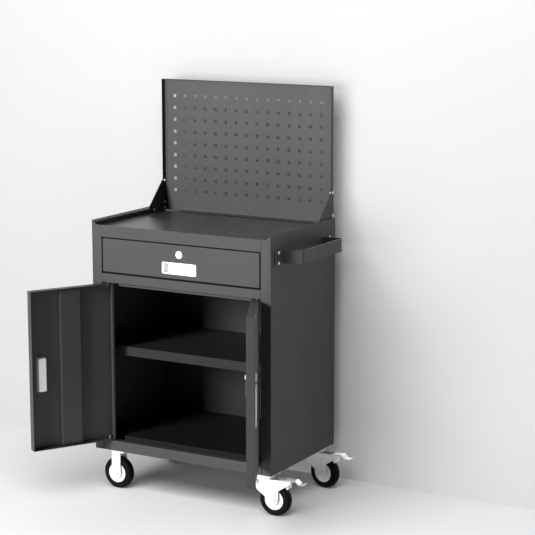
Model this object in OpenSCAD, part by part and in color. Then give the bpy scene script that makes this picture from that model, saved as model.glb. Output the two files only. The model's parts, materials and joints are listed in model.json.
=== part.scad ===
// Rolling tool chest: steel cabinet with one drawer, two doors, a pegboard back and four casters.
// Frame: X to the right, Y to the back, Z up, origin on the floor under the centre of the cabinet.

/* [Cabinet] */
// Width of the cabinet over its side panels
body_w = 630; // [600:1:680]
// Depth of the cabinet
body_d = 405; // [395:1:450]
// Height of the cabinet from its bottom edge to the top of the side lips
body_h = 722; // [700:1:760]
// Height of the cabinet's bottom edge above the floor
floor_gap = 130; // [128:1:140]
// Thickness of the sheet steel
sheet = 1.2; // [1:0.1:1.5]
// Width of the front stiles
stile_w = 35; // [30:1:40]
// Depth of the inward returns of the stiles and rails
return_d = 22; // [18:1:24]
// Height of the side lips above the worktop
lip_rise = 20; // [16:1:24]
// Height of the worktop's front edge above the worktop
edge_rise = 7; // [4:1:10]

/* [Front openings] */
// Height of the top rail
top_rail_h = 36; // [30:1:45]
// Height of the drawer opening
drawer_open_h = 113; // [100:1:125]
// Height of the middle rail
middle_rail_h = 28; // [26:1:40]
// Height of the bottom rail
bottom_rail_h = 32; // [28:1:38]

/* [Doors] */
// Depth of the folded door trays
door_d = 25; // [20:1:28]
// Angle from closed at which the left door stands
left_open = 120; // [0:1:126]
// Angle from closed at which the right door stands
right_open = 117; // [0:1:126]
// Distance of the hinge pin from the stile
pin_inset = 15.5; // [14:0.5:20]

/* [Drawer] */
// Length of the drawer box
drawer_len = 349; // [300:1:350]
// Height of the drawer box
drawer_box_h = 83; // [60:1:88]

/* [Inside] */
// Height of the cabinet floor above the bottom edge
floor_rise = 45; // [40:1:50]
// Height of the top of the shelf above the bottom edge
shelf_rise = 324; // [250:1:400]
// Height of the shelf's folded edges
shelf_edge = 29; // [20:1:35]

/* [Pegboard] */
// Width of the pegboard
peg_w = 614; // [600:1:614]
// Height of the pegboard
peg_h = 423; // [400:1:500]
// Distance between hole centres
peg_pitch = 38; // [36:1:40]
// Side of the square holes
peg_hole = 10; // [6:0.5:12]
// Number of columns of holes
peg_cols = 15; // [8:1:15]
// Number of rows of holes
peg_rows = 9; // [5:1:9]

/* [Handle, pulls and locks] */
// How far the side handle stands out
handle_out = 60; // [45:1:70]
// Height of the side handle's strip
handle_h = 41; // [30:1:50]
// Length of the recessed pulls
pull_l = 121; // [110:1:125]
// Width of the recessed pulls
pull_w = 36; // [34:1:40]
// Radius of the lock rosettes
lock_r = 12; // [11:0.5:14]

/* [Casters] */
// Radius of the wheels
wheel_r = 50; // [48:1:50]
// Width of the wheels
wheel_w = 28; // [24:1:28]
// Distance of the caster centres from the middle, front to back
caster_y = 162; // [155:1:163]
// Distance of the rigid casters' centres to the left of the middle
rigid_x = 254; // [245:1:258]
// Distance of the swivel casters' centres to the right of the middle
swivel_x = 272; // [265:1:272]
// Horizontal distance from a swivel's axis to its axle
trail = 37; // [34:1:38]
// Angle at which the front swivel caster stands
front_swivel = 2; // [-20:1:20]
// Angle at which the rear swivel caster stands
rear_swivel = -8; // [-20:1:20]

/* [Hidden] */

round_fn = 48;
grey = [0.27, 0.27, 0.28];
dark = [0.20, 0.20, 0.21];
zinc = [0.85, 0.86, 0.88];
chrome = [0.90, 0.90, 0.92];
rubber = [0.05, 0.05, 0.05];

// Main planes of the cabinet
x_side = body_w / 2;
y_front = -body_d / 2;
y_back = body_d / 2;
z_base = floor_gap;
z_lip = z_base + body_h;
z_top = z_lip - lip_rise;
z_edge = z_top + edge_rise;
x_stile = x_side - stile_w;
y_return = y_front + return_d;
z_draw1 = z_edge - top_rail_h;
z_draw0 = z_draw1 - drawer_open_h;
z_door1 = z_draw0 - middle_rail_h;
z_door0 = z_base + bottom_rail_h;
z_floor = z_base + floor_rise;
z_shelf = z_base + shelf_rise;
fit = 0.05;

// Side panels
hem_w = 6.5;
hem_drop = 26;
chamfer_w = 18;
rear_flange = 21;
rail_end = 0.2;
seam = 1;
seam_inset = 2;
seam_gap = 1.8;

// Inside sheets
y_back_panel = y_back - 2.5;
side_gap = 1.3;
worktop_flange = 15;
worktop_rib_d = 16;
floor_lip_x = 222;
floor_lip_h = 23;
floor_front = y_front + 26;
floor_step = 27;
stop_x = 238;
stop_drop = 13;
shelf_front = y_front + 52.5;
shelf_lip_x = 262;
shelf_notch = 25;
shelf_gap = 2.8;
clip_w = 16;
clip_t = 3;
clip_tab = 20;
clip_ys = [-100, 160];
base_x0 = 212;
base_x1 = x_side - sheet - 0.3;
base_front = y_front + sheet + 0.1;
base_web_front = y_front + 27.5;
base_t = 1.5;

// Pegboard and gussets
peg_y = y_back - 2.4;
peg_flange = 14;
peg_z0 = z_top + 2.4;
peg_z1 = peg_z0 + peg_h;
peg_rim = 11;
peg_rim_t = 1;
peg_row0 = peg_z1 - 53.4;
gusset_t = 1.5;
gusset_foot = 107;
gusset_z0 = z_top + 2.4;
gusset_step = 18;
gusset_rise = 84;
gusset_top_w = 12;
gusset_screw_y = 194;
gusset_foot_screw_y = 133;
gusset_low_z = z_top + 8;
gusset_flange_zs = [z_top + 27, z_top + 98];
screw_r = 2.5;
screw_head_r = 4.3;
screw_head_h = 2.6;

// Side handle
handle_t = 3;
handle_z = z_base + 632;
handle_y0 = -137;
handle_y1 = 132;
handle_tab = 46;
handle_bend = 8;
bend_steps = 6;
handle_slant0 = 19;
handle_slant1 = -3;
handle_screw_y = 25;
handle_screw_dz = 30.5;

// Drawer
front_gap = 4;
front_low_gap = 5.5;
front_d = 18;
box_x = 265.3;
box_z0 = z_draw0 + 15;
box_t = 1;
box_front = y_front + front_d;
box_rim = 6;
drawer_pull_z = z_draw0 + 37;
drawer_lock_z = z_draw0 + 80;

// Telescopic slides, from the inside outwards
slide_len = 350;
slide_front = y_return + 2.5;
slide_z = z_draw0 + 47;
inner_x = box_x + 0.2;
inner_w = 5.5;
inner_h = 37.2;
middle_x = 268;
middle_web = 272;
middle_w = 9;
middle_h = 41.6;
outer_x0 = 267.5;
outer_x1 = 279;
outer_h = 45.6;
bracket_w = 24;
bracket_h = 30;
bracket_ys = [-150, 140];

// Doors, in their closed place
door_edge = x_stile - 2.5;
door_meet = 1.5;
door_z0 = z_door0 + 2.5;
door_z1 = z_door1 - 2.5;
pin_x = x_stile - pin_inset;
pin_y = y_front + 7;
pin_r = 3;
pin_reach = 14;
hinge_lip = 8;
stiff_x0 = pin_x - 162;
stiff_w = 67;
stiff_d = 12;
stiff_gap = 4;
door_pull_x = 39.5;
door_pull_z = z_base + 268;
door_lock_z = z_base + 352;

// Pulls and locks
pull_t = 1.5;
pull_corner = 4;
cup_l = pull_l - 14;
cup_w = pull_w - 6;
cup_d = 16;
cup_wall = 1.2;
barrel_r = 9;
core_r = 6;
stub_r = 4;
lock_face = 2;
drawer_barrel = 22.2;
door_barrel = 25.5;
cam_t = 2;
cam_w = 14;
cam_gap = 0.3;
key_l = 8;
key_w = 1.6;

// Casters, around the swivel axis or the middle of the rigid plate
plate_l = 80;
plate_w = 70;
plate_t = 3;
bolt_dx = 30;
bolt_dy = 27;
caster_bolt_r = 4;
caster_head_r = 7;
caster_head_h = 4.5;
leg_t = 2.5;
leg_in = 17;
strap_w = 32;
axle_r = 5;
axle_head_r = 8;
axle_head_h = 4;
rim_r = 30.5;
boss_r = 10;
boss_w = 32;
web_t = 22;
rim_lip = 3;
disc_t = 1.5;
disc_step = 2.5;
disc_hole_r = 2.2;
disc_hole_at = 17;
disc_hole_angle = 17;
tyre_shoulder = 5;
tyre_crown = 12;
race_r = 28;
race_h = 9;
fork_top = floor_gap - plate_t - race_h - 0.5;
fork_top_t = 4.5;
fork_r = 30;
skirt_h = 17;
king_r = 6;
king_head_r = 10;
king_head_h = 2.5;
arm_x = 96;
pedal_x = 73;
pedal_z = 110;
pedal_pin_r = 3;
pedal_w = 24;
pedal_t = 2.5;

module block(x0, x1, y0, y1, z0, z1) {
    translate([x0, y0, z0]) cube([x1 - x0, y1 - y0, z1 - z0]);
}

// Extrudes an outline drawn in X and Z along Y, from y0 to y1
module along_y(y0, y1) {
    translate([0, y1, 0]) rotate([90, 0, 0]) linear_extrude(y1 - y0) children();
}

// Extrudes an outline drawn in Y and Z along X, from x0 to x1
module along_x(x0, x1) {
    translate([x0, 0, 0]) rotate([90, 0, 90]) linear_extrude(x1 - x0) children();
}

module rod_y(r, x, z, y0, y1) {
    translate([x, y1, z]) rotate([90, 0, 0]) cylinder(r = r, h = y1 - y0, $fn = round_fn);
}

module rod_x(r, y, z, x0, x1) {
    translate([x0, y, z]) rotate([0, 90, 0]) cylinder(r = r, h = x1 - x0, $fn = round_fn);
}

module rod_z(r, x, y, z0, z1) {
    translate([x, y, z0]) cylinder(r = r, h = z1 - z0, $fn = round_fn);
}

module rounded(l, w, r) {
    square([l - 2 * r, w], center = true);
    square([l, w - 2 * r], center = true);
    for (sx = [-1, 1], sz = [-1, 1]) {
        translate([sx * (l / 2 - r), sz * (w / 2 - r)]) circle(r = r, $fn = round_fn);
    }
}

// ---- Cabinet shell ----

module side_sheet() {
    outer = -x_side;
    inner = -x_side + sheet;
    block(outer, inner, y_front, y_back, z_base, z_lip);
    along_y(y_front, y_front + sheet) polygon([
        [outer, z_base], [-x_stile - seam_gap - seam_inset, z_base],
        [-x_stile - seam_gap - seam_inset, z_door0 + seam], [-x_stile, z_door0 + seam],
        [-x_stile, z_edge], [outer + chamfer_w, z_edge], [outer, z_lip]]);
    block(-x_stile - sheet, -x_stile, y_front, y_return, z_door0 + seam, z_draw1);
    block(outer, outer + rear_flange, y_back - sheet, y_back, z_base, z_top - sheet);
    side_hem(outer);
}

// The raised edge is folded in and down, and the worktop butts against its inner wall
module side_hem(outer) {
    inner = outer + hem_w;
    along_y(y_front + sheet, y_back) polygon([
        [outer, z_lip], [inner, z_lip - hem_w], [inner, z_lip - hem_drop],
        [inner - sheet, z_lip - hem_drop], [inner - sheet, z_lip - hem_w - sheet / 2],
        [outer + sheet, z_lip - 3 * sheet / 2], [outer, z_lip - 2 * sheet]]);
}

module gusset_low_holes() {
    for (y = [gusset_foot_screw_y, gusset_screw_y]) {
        rod_x(screw_r + fit, y, gusset_low_z, -x_side + sheet + 1, -x_side + hem_w + 8);
    }
}

module side_left() {
    color(grey) difference() {
        side_sheet();
        gusset_low_holes();
    }
}

module side_right() {
    color(grey) difference() {
        mirror([1, 0, 0]) side_sheet();
        mirror([1, 0, 0]) gusset_low_holes();
        for (y = handle_screw_ys(), s = [-1, 1]) {
            rod_x(screw_r + fit, y, handle_mid + s * handle_screw_dz / 2, x_side - 5, x_side + 5);
        }
    }
}

module back_panel() {
    color(dark) block(-x_side + sheet + side_gap, x_side - sheet - side_gap,
        y_back_panel, y_back - sheet - 0.1, z_base + 0.3, z_lip - hem_drop - 0.3);
}

module worktop() {
    half = x_side - hem_w - 0.1;
    front = y_front + 2 * sheet + 0.1;
    color(grey) {
        block(-half, half, front, y_back_panel, z_top - sheet, z_top);
        block(-half, half, front, front + sheet, z_top - worktop_flange, z_top);
        block(-half, half, y_back_panel - sheet, y_back_panel, z_top - worktop_flange, z_top);
        for (y = [-70, 70]) worktop_rib(y, half - 20);
    }
}

module worktop_rib(y, half) {
    w = 40;
    top = z_top - sheet;
    block(-half, half, y - w / 2, y - w / 2 + sheet, top - worktop_rib_d, top);
    block(-half, half, y + w / 2 - sheet, y + w / 2, top - worktop_rib_d, top);
    block(-half, half, y - w / 2, y + w / 2, top - worktop_rib_d, top - worktop_rib_d + sheet);
}

// A front rail is a channel: its face, and a return at its top or bottom where asked
module rail(z0, z1, half, top_return, bottom_return) {
    block(-half, half, y_front, y_front + sheet, z0, z1);
    if (top_return) block(-half, half, y_front, y_return, z1 - sheet, z1);
    if (bottom_return) block(-half, half, y_front, y_return, z0, z0 + sheet);
}

module top_rail() {
    half = x_stile - rail_end;
    color(grey) {
        rail(z_draw1, z_edge, half, false, true);
        block(-half, half, y_front, y_front + 2 * sheet, z_top - sheet, z_edge);
    }
}

module pin_bores(r) {
    for (s = [-1, 1]) {
        rod_z(r, s * pin_x, pin_y, z_door0 - 5, z_door0 + pin_reach + 5);
        rod_z(r, s * pin_x, pin_y, z_door1 - pin_reach - 5, z_door1 + 5);
    }
}

// Its lower return runs back to a lip that the doors close against
module middle_rail() {
    color(grey) difference() {
        union() {
            rail(z_door1, z_draw0, x_stile - rail_end, true, true);
            block(-stop_x, stop_x, y_return - sheet, floor_front + sheet, z_door1, z_door1 + sheet);
            block(-stop_x, stop_x, floor_front, floor_front + sheet, z_door1 - stop_drop, z_door1 + sheet);
        }
        pin_bores(pin_r + fit);
    }
}

module bottom_rail() {
    half = x_stile + seam_inset;
    color(grey) difference() {
        union() {
            block(-half, half, y_front, y_front + sheet, z_base, z_door0);
            rail(z_base, z_door0, x_stile - rail_end, true, false);
            block(-base_x0 + 0.5, base_x0 - 0.5, y_front, y_return, z_base, z_base + sheet);
        }
        pin_bores(pin_r + fit);
    }
}

module floor_panel() {
    half = x_side - sheet - side_gap;
    back = floor_front + floor_step;
    color(dark) {
        block(-half, half, back, y_back_panel - 0.1, z_floor - sheet, z_floor);
        block(-floor_lip_x, floor_lip_x, floor_front, back, z_floor - sheet, z_floor);
        block(-floor_lip_x, floor_lip_x, floor_front, floor_front + sheet, z_floor - floor_lip_h, z_floor);
    }
}

module caster_holes(x) {
    for (cy = [-1, 1], sx = [-1, 1], sy = [-1, 1]) {
        rod_z(caster_bolt_r + fit, x + sx * bolt_dx, cy * caster_y + sy * bolt_dy, z_base - 10, z_base + 10);
    }
}

module base_channel_left() {
    color(dark) difference() {
        mirror([1, 0, 0]) base_channel_blank();
        caster_holes(-rigid_x);
    }
}

module base_channel_right() {
    color(dark) difference() {
        base_channel_blank();
        caster_holes(swivel_x);
    }
}

// A channel under the floor that the casters bolt to
module base_channel_blank() {
    back = y_back_panel - 2;
    t = base_t;
    top = z_floor - sheet;
    block(base_x0, base_x1, base_front, back, z_base, z_base + t);
    block(base_x0, base_x0 + t, base_web_front, back, z_base, top);
    block(base_x1 - t, base_x1, base_web_front, back, z_base, top);
}

module shelf() {
    half = x_side - sheet - shelf_gap;
    step = shelf_front + shelf_notch;
    back = y_back_panel - 1;
    low = z_shelf - shelf_edge;
    color(dark) {
        block(-half, half, step, back, z_shelf - sheet, z_shelf);
        block(-shelf_lip_x, shelf_lip_x, shelf_front, step, z_shelf - sheet, z_shelf);
        block(-shelf_lip_x, shelf_lip_x, shelf_front, shelf_front + sheet, low, z_shelf);
        block(-half, half, back - sheet, back, low, z_shelf);
        block(-half, -half + sheet, step, back, low, z_shelf);
        block(half - sheet, half, step, back, low, z_shelf);
    }
}

module shelf_clips() {
    wall = x_side - sheet;
    low = z_shelf - shelf_edge;
    color(zinc) for (s = [0, 1], y = clip_ys) {
        mirror([s, 0, 0]) {
            block(wall - 16, wall, y - clip_w / 2, y + clip_w / 2, low - clip_t, low);
            block(wall - 2, wall, y - clip_w / 2, y + clip_w / 2, low, low + clip_tab);
        }
    }
}

// ---- Pegboard ----

module pegboard() {
    half = peg_w / 2;
    color(grey) difference() {
        union() {
            along_y(peg_y, peg_y + sheet) difference() {
                translate([-half, peg_z0]) square([peg_w, peg_h]);
                for (c = [0 : peg_cols - 1], r = [0 : peg_rows - 1]) {
                    translate([(c - (peg_cols - 1) / 2) * peg_pitch, peg_row0 - r * peg_pitch])
                        square(peg_hole, center = true);
                }
            }
            along_y(peg_y - peg_rim_t, peg_y) difference() {
                translate([-half, peg_z0]) square([peg_w, peg_h]);
                translate([-half + peg_rim, peg_z0 + peg_rim])
                    square([peg_w - 2 * peg_rim, peg_h - 2 * peg_rim]);
            }
            along_y(peg_y - peg_flange, peg_y) difference() {
                translate([-half, peg_z0]) square([peg_w, peg_h]);
                translate([-half + sheet, peg_z0 + sheet]) square([peg_w - 2 * sheet, peg_h - 2 * sheet]);
            }
        }
        for (s = [-1, 1]) gusset_bores(s);
    }
}

module gusset_bores(s) {
    reach = peg_w / 2 + 4;
    for (z = concat(gusset_flange_zs, [gusset_low_z])) {
        rod_x(screw_r + fit, gusset_screw_y, z, s > 0 ? reach - 20 : -reach, s > 0 ? reach : 20 - reach);
    }
    rod_x(screw_r + fit, gusset_foot_screw_y, gusset_low_z, s > 0 ? reach - 20 : -reach,
        s > 0 ? reach : 20 - reach);
}

module gusset() {
    top = gusset_z0 + gusset_step + gusset_rise;
    back = peg_y + sheet;
    along_x(peg_w / 2, peg_w / 2 + gusset_t) polygon([
        [gusset_foot, gusset_z0], [gusset_foot, gusset_z0 + gusset_step],
        [back - gusset_top_w - 3, top - 4], [back - gusset_top_w + 2, top],
        [back - 3, top], [back, top - 3], [back, gusset_z0]]);
}

module gusset_left() {
    color(grey) difference() {
        mirror([1, 0, 0]) gusset();
        gusset_bores(-1);
    }
}

module gusset_right() {
    color(grey) difference() {
        gusset();
        gusset_bores(1);
    }
}

module gusset_screws() {
    plate = peg_w / 2 + gusset_t;
    flange = peg_w / 2 - sheet;
    color(zinc) for (s = [0, 1]) mirror([s, 0, 0]) {
        for (z = gusset_flange_zs) {
            rod_x(screw_r, gusset_screw_y, z, flange - 5, plate);
            rod_x(screw_head_r, gusset_screw_y, z, plate, plate + screw_head_h);
            rod_x(screw_head_r, gusset_screw_y, z, flange - 3, flange);
        }
        rod_x(screw_r, gusset_screw_y, gusset_low_z, flange, x_side - sheet - 1);
        rod_x(screw_head_r, gusset_screw_y, gusset_low_z, flange - screw_head_h, flange);
        rod_x(screw_r, gusset_foot_screw_y, gusset_low_z, peg_w / 2, x_side - sheet - 1);
        rod_x(screw_head_r, gusset_foot_screw_y, gusset_low_z, peg_w / 2 - screw_head_h, peg_w / 2);
    }
}

// ---- Side handle ----

handle_mid = handle_z + handle_h / 2;
function handle_screw_ys() = [handle_y0 - handle_screw_y, handle_y1 + handle_screw_y];

// How far an arm's bend centre lies inwards from the arm's foot
function bend_in(slant) = (handle_bend + (handle_out - handle_bend) * sin(slant)) / cos(slant);

function arc(centre, r, from, to) = [for (i = [0 : bend_steps])
    centre + r * [cos(from + (to - from) * i / bend_steps), sin(from + (to - from) * i / bend_steps)]];

// One flat strip: a tab, an arm that leans by its slant, the outer bar, an arm and a tab
function handle_outline() = let (
    out = x_side + handle_out - handle_bend,
    c0 = [out, handle_y0 + bend_in(handle_slant0)],
    c1 = [out, handle_y1 - bend_in(handle_slant1)],
    inner_bend = handle_bend - handle_t)
    concat(
        [[x_side + handle_t, handle_y0 - handle_tab],
            [x_side + handle_t, handle_y0 + handle_t * tan(handle_slant0)]],
        arc(c0, handle_bend, handle_slant0 - 90, 0),
        arc(c1, handle_bend, 0, 90 - handle_slant1),
        [[x_side + handle_t, handle_y1 - handle_t * tan(handle_slant1)],
            [x_side + handle_t, handle_y1 + handle_tab], [x_side, handle_y1 + handle_tab],
            [x_side, handle_y1 - handle_t / cos(handle_slant1)]],
        arc(c1, inner_bend, 90 - handle_slant1, 0),
        arc(c0, inner_bend, 0, handle_slant0 - 90),
        [[x_side, handle_y0 + handle_t / cos(handle_slant0)], [x_side, handle_y0 - handle_tab]]);

module side_handle() {
    color(grey) difference() {
        translate([0, 0, handle_z]) linear_extrude(handle_h) polygon(handle_outline());
        for (y = handle_screw_ys(), s = [-1, 1]) {
            rod_x(screw_r + fit, y, handle_mid + s * handle_screw_dz / 2, x_side - 5, x_side + 5);
        }
    }
}

module handle_screws() {
    color(zinc) for (y = handle_screw_ys(), s = [-1, 1]) {
        z = handle_mid + s * handle_screw_dz / 2;
        rod_x(screw_r, y, z, x_side - sheet - 5, x_side + handle_t);
        rod_x(screw_head_r, y, z, x_side + handle_t, x_side + handle_t + screw_head_h);
        rod_x(screw_head_r, y, z, x_side - sheet - 3, x_side - sheet);
    }
}

// ---- Drawer ----

// A pull lies in X and Z with its face at y = 0, and its cup behind
module pull() {
    difference() {
        union() {
            along_y(-pull_t, 0) rounded(pull_l, pull_w, pull_corner);
            along_y(0, cup_d) rounded(cup_l, cup_w, pull_corner);
        }
        along_y(-pull_t - 1, cup_d - cup_wall) rounded(cup_l - 2 * cup_wall, cup_w - 2 * cup_wall, 2);
    }
}

module pull_cut() {
    along_y(-1, 20) rounded(cup_l + 0.4, cup_w + 0.4, pull_corner + 0.2);
}

// A lock body has its face at y = 0, and its barrel behind
module lock_body(barrel) {
    difference() {
        union() {
            rod_y(lock_r, 0, 0, -lock_face, 0);
            rod_y(barrel_r, 0, 0, 0, barrel);
        }
        rod_y(core_r + fit, 0, 0, -lock_face - 1, barrel + 1);
    }
}

module lock_core(barrel) {
    difference() {
        union() {
            rod_y(core_r, 0, 0, -lock_face - 0.4, barrel);
            rod_y(stub_r, 0, 0, barrel, barrel + cam_gap + cam_t);
            rod_y(core_r, 0, 0, barrel + cam_gap + cam_t, barrel + cam_gap + cam_t + 3);
        }
        block(-key_w / 2, key_w / 2, -lock_face - 1, 4, -key_l / 2, key_l / 2);
    }
}

// The cam lies along +X from the core
module lock_cam(barrel, length) {
    y0 = barrel + cam_gap;
    difference() {
        union() {
            rod_y(cam_w / 2, 0, 0, y0, y0 + cam_t);
            block(0, length, y0, y0 + cam_t, -cam_w / 2, cam_w / 2);
        }
        rod_y(stub_r + fit, 0, 0, y0 - 1, y0 + cam_t + 1);
    }
}

drawer_lock_at = [0, y_front, drawer_lock_z];
drawer_cam_l = 38;

module drawer_front() {
    half = x_stile - front_gap;
    z0 = z_draw0 + front_low_gap;
    z1 = z_draw1 - front_gap;
    color(grey) difference() {
        block(-half, half, y_front, box_front, z0, z1);
        block(-half + sheet, half - sheet, y_front + sheet, box_front + 1, z0 + sheet, z1 - sheet);
        translate([0, y_front, drawer_pull_z]) pull_cut();
        rod_y(barrel_r + fit, 0, drawer_lock_z, y_front - 1, y_front + 5);
    }
}

module drawer_box() {
    top = box_z0 + drawer_box_h;
    back = box_front + drawer_len;
    rim_top = top + box_t;
    color(dark) difference() {
        union() {
            difference() {
                block(-box_x, box_x, box_front, back, box_z0, top);
                block(-box_x + box_t, box_x - box_t, box_front + box_t, back - box_t,
                    box_z0 + box_t, top + 1);
            }
            for (s = [0, 1]) mirror([s, 0, 0]) {
                block(box_x - box_rim, box_x, box_front, back, top - box_t, top);
            }
        }
        rod_y(barrel_r + fit, 0, drawer_lock_z, box_front - 1, box_front + 5);
    }
}

module drawer_pull() {
    color(chrome) translate([0, y_front, drawer_pull_z]) pull();
}

module drawer_lock_body() {
    color(chrome) translate(drawer_lock_at) lock_body(drawer_barrel);
}

module drawer_lock_core() {
    color(chrome) translate(drawer_lock_at) lock_core(drawer_barrel);
}

module drawer_lock_cam() {
    color(zinc) translate(drawer_lock_at) lock_cam(drawer_barrel, drawer_cam_l);
}

// ---- Drawer slides, drawn for the right side ----

module slide_outer() {
    z0 = slide_z - outer_h / 2;
    z1 = slide_z + outer_h / 2;
    back = slide_front + slide_len;
    block(outer_x1 - sheet, outer_x1, slide_front, back, z0, z1);
    block(outer_x0, outer_x1, slide_front, back, z0, z0 + sheet);
    block(outer_x0, outer_x1, slide_front, back, z1 - sheet, z1);
    for (y = bracket_ys) slide_bracket(y);
}

// A folded bracket carries the slide off the side panel
module slide_bracket(y) {
    wall = x_side - sheet;
    low = slide_z - bracket_h / 2;
    high = slide_z + bracket_h / 2;
    difference() {
        block(outer_x1, wall, y - bracket_w / 2, y + bracket_w / 2, low, high);
        block(outer_x1 + 2, wall - 2, y - bracket_w, y + bracket_w, low + 2, high + 1);
    }
}

module slide_middle() {
    z0 = slide_z - middle_h / 2;
    z1 = slide_z + middle_h / 2;
    back = slide_front + slide_len;
    block(middle_web, middle_web + sheet, slide_front, back, z0, z1);
    block(middle_x, middle_x + middle_w, slide_front, back, z0, z0 + sheet);
    block(middle_x, middle_x + middle_w, slide_front, back, z1 - sheet, z1);
}

module slide_inner() {
    z0 = slide_z - inner_h / 2;
    z1 = slide_z + inner_h / 2;
    back = slide_front + slide_len - 10;
    block(box_x, box_x + sheet, slide_front, back, z0, z1);
    block(box_x, box_x + inner_w, slide_front, back, z0, z0 + sheet);
    block(box_x, box_x + inner_w, slide_front, back, z1 - sheet, z1);
}

module slide_outer_left() { color(zinc) mirror([1, 0, 0]) slide_outer(); }
module slide_outer_right() { color(zinc) slide_outer(); }
module slide_middle_left() { color(zinc) mirror([1, 0, 0]) slide_middle(); }
module slide_middle_right() { color(zinc) slide_middle(); }
module slide_inner_left() { color(zinc) mirror([1, 0, 0]) slide_inner(); }
module slide_inner_right() { color(zinc) slide_inner(); }

// ---- Doors, drawn closed as the left door and swung about the pins ----

module left_swing() {
    translate([-pin_x, pin_y, 0]) rotate(-left_open) translate([pin_x, -pin_y, 0]) children();
}

module right_swing() {
    translate([pin_x, pin_y, 0]) rotate(right_open) translate([-pin_x, -pin_y, 0]) children();
}

module door_skin() {
    back = y_front + door_d;
    difference() {
        union() {
            difference() {
                block(-door_edge, -door_meet, y_front, back, door_z0, door_z1);
                block(-door_edge + sheet, -door_meet - sheet, y_front + sheet, back + 1,
                    door_z0 + sheet, door_z1 - sheet);
            }
            block(-door_edge, -door_edge + hinge_lip, back - sheet, back, door_z0, door_z1);
        }
        translate([-door_pull_x, y_front, door_pull_z]) rotate([0, 90, 0]) pull_cut();
        rod_z(pin_r + fit, -pin_x, pin_y, door_z0 - 1, door_z0 + 5);
        rod_z(pin_r + fit, -pin_x, pin_y, door_z1 - 5, door_z1 + 1);
    }
}

module door_stiffener() {
    z0 = door_z0 + sheet + stiff_gap;
    z1 = door_z1 - sheet - stiff_gap;
    y0 = y_front + sheet;
    x0 = -stiff_x0 - stiff_w;
    block(x0, x0 + stiff_w, y0 + stiff_d - sheet, y0 + stiff_d, z0, z1);
    block(x0, x0 + sheet, y0, y0 + stiff_d, z0, z1);
    block(x0 + stiff_w - sheet, x0 + stiff_w, y0, y0 + stiff_d, z0, z1);
}

module door_pull() {
    translate([-door_pull_x, y_front, door_pull_z]) rotate([0, 90, 0]) pull();
}

door_lock_at = [door_pull_x, y_front, door_lock_z];
door_cam_l = 56;

module left_door_skin() { color(grey) left_swing() door_skin(); }
module left_door_stiffener() { color(grey) left_swing() door_stiffener(); }
module left_door_pull() { color(chrome) left_swing() door_pull(); }

module right_door_skin() {
    color(grey) right_swing() difference() {
        mirror([1, 0, 0]) door_skin();
        rod_y(barrel_r + fit, door_pull_x, door_lock_z, y_front - 1, y_front + 5);
    }
}

module right_door_stiffener() { color(grey) right_swing() mirror([1, 0, 0]) door_stiffener(); }
module right_door_pull() { color(chrome) right_swing() mirror([1, 0, 0]) door_pull(); }
module door_lock_body() { color(chrome) right_swing() translate(door_lock_at) lock_body(door_barrel); }
module door_lock_core() { color(chrome) right_swing() translate(door_lock_at) lock_core(door_barrel); }

// Unlocked, the cam points down
module door_lock_cam() {
    color(zinc) right_swing() translate(door_lock_at) rotate([0, 90, 0]) lock_cam(door_barrel, door_cam_l);
}

module hinge_pins() {
    color(zinc) for (s = [-1, 1]) {
        rod_z(pin_r, s * pin_x, pin_y, z_door0 - 3, z_door0 + pin_reach);
        rod_z(pin_r, s * pin_x, pin_y, z_door1 - pin_reach, z_door1 + 3);
    }
}

// ---- Casters ----

// Drawn with the rolling direction along X and the axle at (x, 0, wheel_r).
// Two pressed discs join the boss to the rim, and one hole runs through both
module hub(x) {
    well = rim_r - rim_lip;
    inside = web_t / 2 - disc_t;
    translate([x, 0, wheel_r]) rotate([90, 0, 0]) difference() {
        rotate_extrude($fn = round_fn) polygon([
            [axle_r + fit, -boss_w / 2], [boss_r, -boss_w / 2], [boss_r, -web_t / 2],
            [well - disc_step, -web_t / 2], [well, -wheel_w / 2], [rim_r, -wheel_w / 2],
            [rim_r, wheel_w / 2], [well, wheel_w / 2], [well - disc_step, web_t / 2],
            [boss_r, web_t / 2], [boss_r, boss_w / 2], [axle_r + fit, boss_w / 2]]);
        rotate_extrude($fn = round_fn) polygon([
            [boss_r, -inside], [well - disc_step, -inside],
            [well - disc_step, inside], [boss_r, inside]]);
        rotate(disc_hole_angle) translate([disc_hole_at, 0, -wheel_w])
            cylinder(r = disc_hole_r, h = 2 * wheel_w);
    }
}

module tyre(x) {
    half = wheel_w / 2;
    translate([x, 0, wheel_r]) rotate([90, 0, 0]) rotate_extrude($fn = round_fn) polygon([
        [rim_r, -half], [wheel_r - tyre_shoulder, -half], [wheel_r - 2, -half + 3],
        [wheel_r, -tyre_crown / 2], [wheel_r, tyre_crown / 2],
        [wheel_r - 2, half - 3], [wheel_r - tyre_shoulder, half], [rim_r, half]]);
}

module axle(x) {
    leg = leg_in + leg_t;
    rod_y(axle_r, x, wheel_r, -leg, leg);
    rod_y(axle_head_r, x, wheel_r, -leg - axle_head_h, -leg);
    rod_y(axle_head_r, x, wheel_r, leg, leg + axle_head_h);
}

module plate_blank() {
    block(-plate_l / 2, plate_l / 2, -plate_w / 2, plate_w / 2, floor_gap - plate_t, floor_gap);
}

module plate_holes() {
    for (sx = [-1, 1], sy = [-1, 1]) {
        rod_z(caster_bolt_r + fit, sx * bolt_dx, sy * bolt_dy, floor_gap - 10, floor_gap + 10);
    }
}

// Two straps folded down from the plate
module rigid_fork() {
    difference() {
        union() {
            plate_blank();
            for (s = [0, 1]) mirror([0, s, 0]) {
                block(-strap_w / 2, strap_w / 2, leg_in, leg_in + leg_t, wheel_r, floor_gap - plate_t);
                rod_y(strap_w / 2, 0, wheel_r, leg_in, leg_in + leg_t);
            }
        }
        plate_holes();
        rod_y(axle_r + fit, 0, wheel_r, -40, 40);
    }
}

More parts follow.
